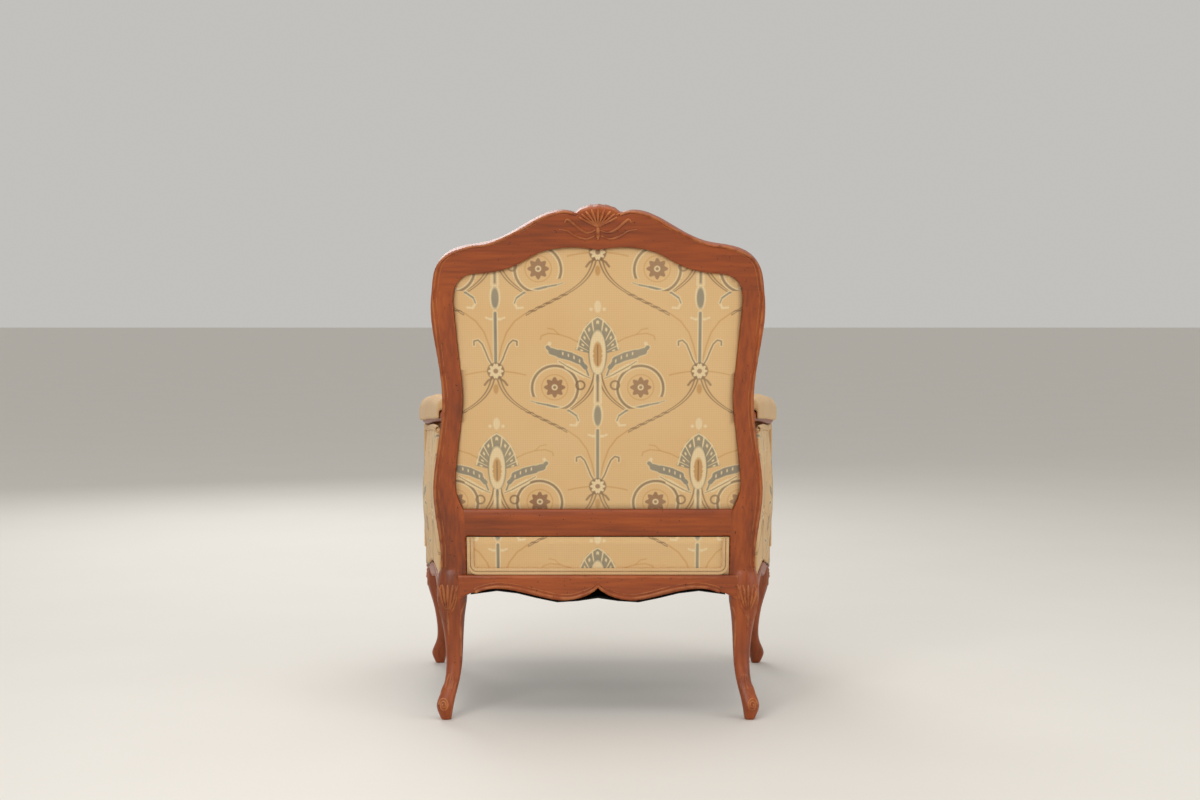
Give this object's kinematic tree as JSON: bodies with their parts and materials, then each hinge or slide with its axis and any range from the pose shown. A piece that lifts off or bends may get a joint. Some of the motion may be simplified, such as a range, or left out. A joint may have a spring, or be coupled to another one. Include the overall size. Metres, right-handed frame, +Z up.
{
  "type": "bergere chair",
  "caption": "Closed-arm upholstered easy chair with a carved show-wood frame, cabriole legs, padded back and arms, and a loose seat cushion.",
  "frame": {"origin": "on the floor, under the middle of the chair's outer box", "axes": "+Z up, the chair faces -Y, +X is the sitter's left"},
  "size_m": [0.7816, 0.7269, 1.0065],
  "materials": {
    "show_wood": "satin stained fruitwood with a pale glaze in the carving",
    "inner_wood": "sawn, unfinished",
    "figured_cloth": "woven, figured with an ogee lattice of palmettes",
    "plain_cloth": "woven, plain",
    "black_cloth": "thin bonded cloth",
    "jute": "coarse weave",
    "steel": "drawn wire and plain fixings"
  },
  "bodies": {
    "frame": {"arm_cap_left": "plain_cloth", "arm_cap_right": "plain_cloth", "arm_frame_tenons": "inner_wood", "arm_post_left": "inner_wood", "arm_post_right": "inner_wood", "arm_rail_left": "show_wood", "arm_rail_right": "show_wood", "back_canvas": "jute", "back_frame_tenons": "inner_wood", "back_webbing": "jute", "corner_block_front_left": "inner_wood", "corner_block_front_right": "inner_wood", "corner_block_rear_left": "inner_wood", "corner_block_rear_right": "inner_wood", "corner_block_screws": "steel", "crest_rail": "show_wood", "dust_cover": "black_cloth", "front_leg_left": "show_wood", "front_leg_right": "show_wood", "front_seat_rail": "show_wood", "inside_arm_pad_left": "figured_cloth", "inside_arm_pad_right": "figured_cloth", "inside_back_pad": "figured_cloth", "inside_back_welt": "plain_cloth", "lower_back_panel": "plain_cloth", "lower_back_rail": "show_wood", "lower_back_welt": "plain_cloth", "outside_arm_panel_left": "plain_cloth", "outside_arm_panel_right": "plain_cloth", "outside_arm_welt_left": "plain_cloth", "outside_arm_welt_right": "plain_cloth", "outside_back_panel": "figured_cloth", "rear_leg_left": "show_wood", "rear_leg_right": "show_wood", "rear_seat_rail": "show_wood", "seat_corner_cloth_left": "plain_cloth", "seat_corner_cloth_right": "plain_cloth", "seat_deck": "plain_cloth", "seat_frame_tenons": "inner_wood", "seat_front_cloth": "plain_cloth", "seat_springs": "steel", "side_seat_rail_left": "show_wood", "side_seat_rail_right": "show_wood", "spring_clips": "steel", "spring_cover": "jute"},
    "cushion": {"seat_cushion": "figured_cloth", "cushion_piping_lower": "plain_cloth", "cushion_piping_upper": "plain_cloth"}
  },
  "joints": [
    {"name": "cushion_lift", "type": "slide", "parent": "frame", "child": "cushion", "axis": [0, 0, 1], "range_m": [0, 0.3]}
  ]
}
